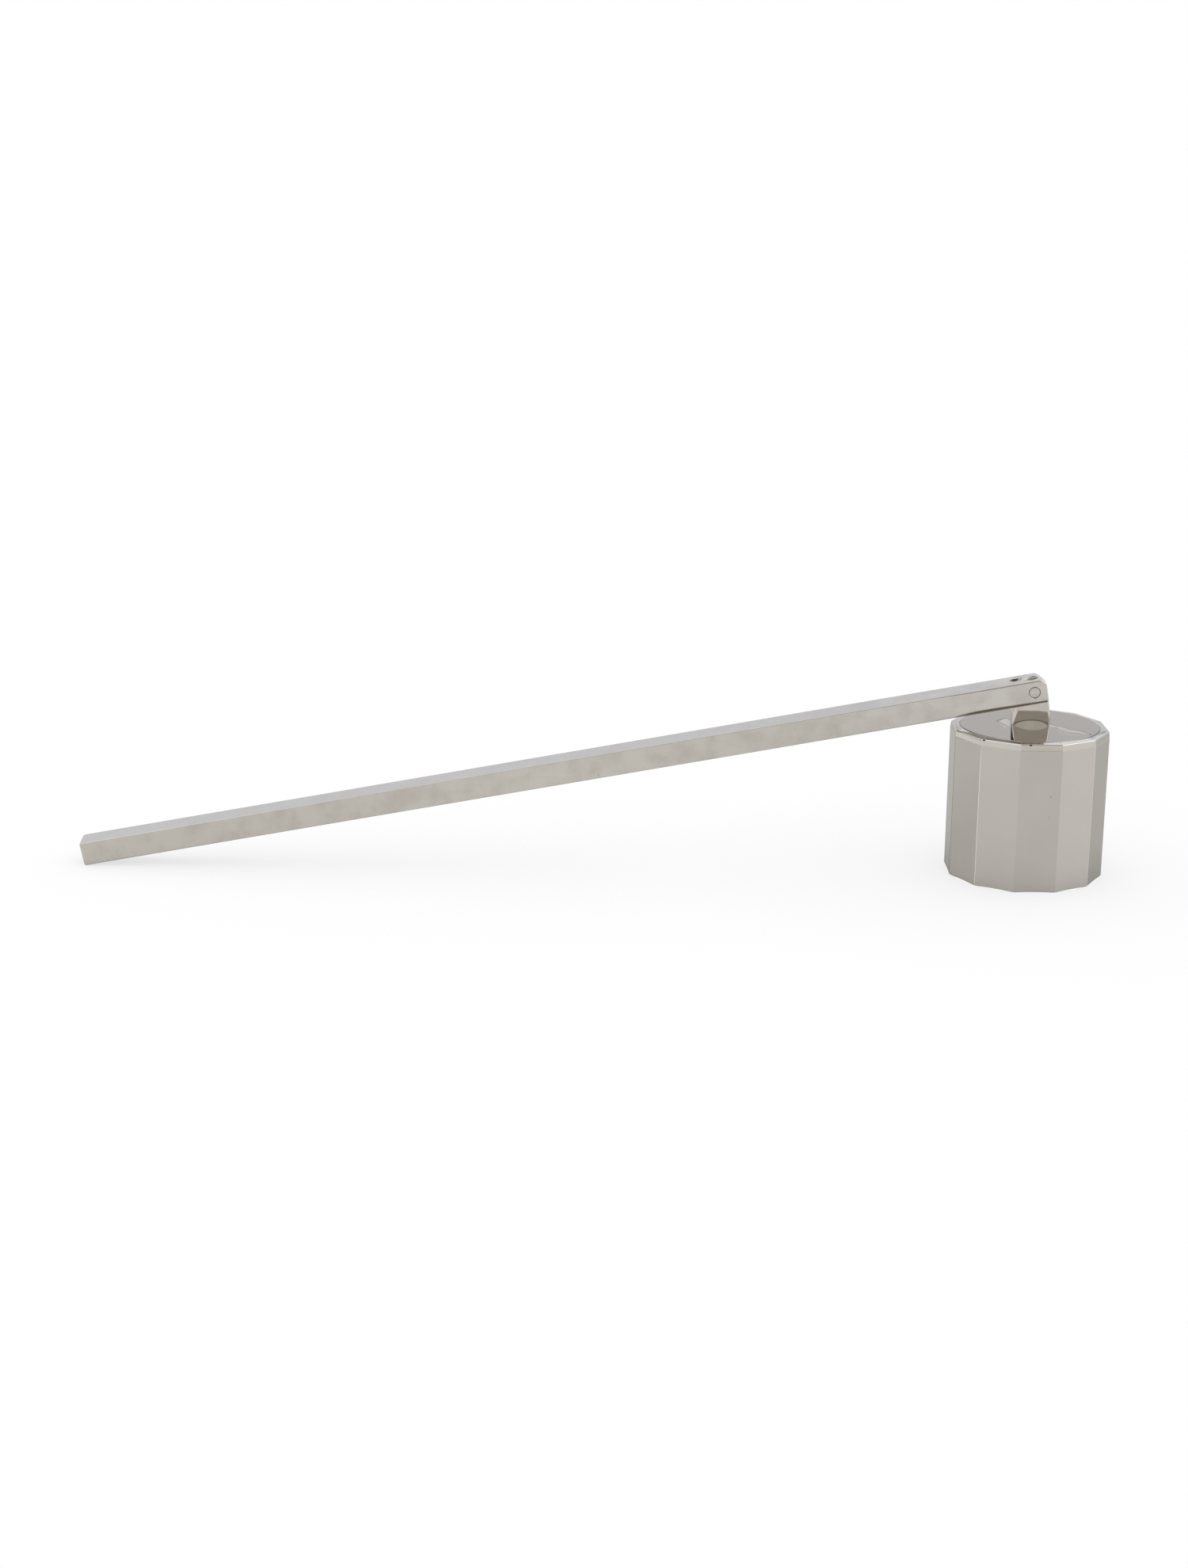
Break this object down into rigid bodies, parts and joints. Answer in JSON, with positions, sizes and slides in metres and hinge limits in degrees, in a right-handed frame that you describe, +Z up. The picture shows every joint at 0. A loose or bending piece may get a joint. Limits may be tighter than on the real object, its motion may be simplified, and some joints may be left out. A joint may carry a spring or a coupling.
{
  "type": "candle snuffer",
  "caption": "Candle snuffer: faceted metal bell, open underneath, hinged by a lug and cross pin to a long rectangular bar handle.",
  "frame": {"origin": "centre of the footprint on the table, with the bell standing mouth down and the bar's free end touching the table", "axes": "+Z up; +X from the bar's free end towards the bell; +Y along the hinge pin"},
  "size_m": [0.218, 0.032, 0.0426],
  "materials": {
    "bell_plating": "bright nickel plate, hand polished",
    "disc_plating": "mirror polished nickel plate",
    "lug_plating": "bright nickel plate, buffed edges",
    "inner_steel": "plain, dull",
    "handle_plating": "polished nickel plate with faint cloudy handling haze",
    "pin_plating": "polished flush with the bar"
  },
  "bodies": {
    "bell": {"bell_body": "bell_plating", "top_disc": "disc_plating", "hinge_lug": "lug_plating", "lug_washer": "inner_steel"},
    "handle": {"handle_bar": "handle_plating", "pivot_pin": "pin_plating"}
  },
  "joints": [
    {"name": "handle_hinge", "type": "hinge", "parent": "bell", "child": "handle", "pos_m": [0.09306, 0, 0.0395], "axis": [0, 1, 0], "range_deg": [-8, 200]}
  ]
}
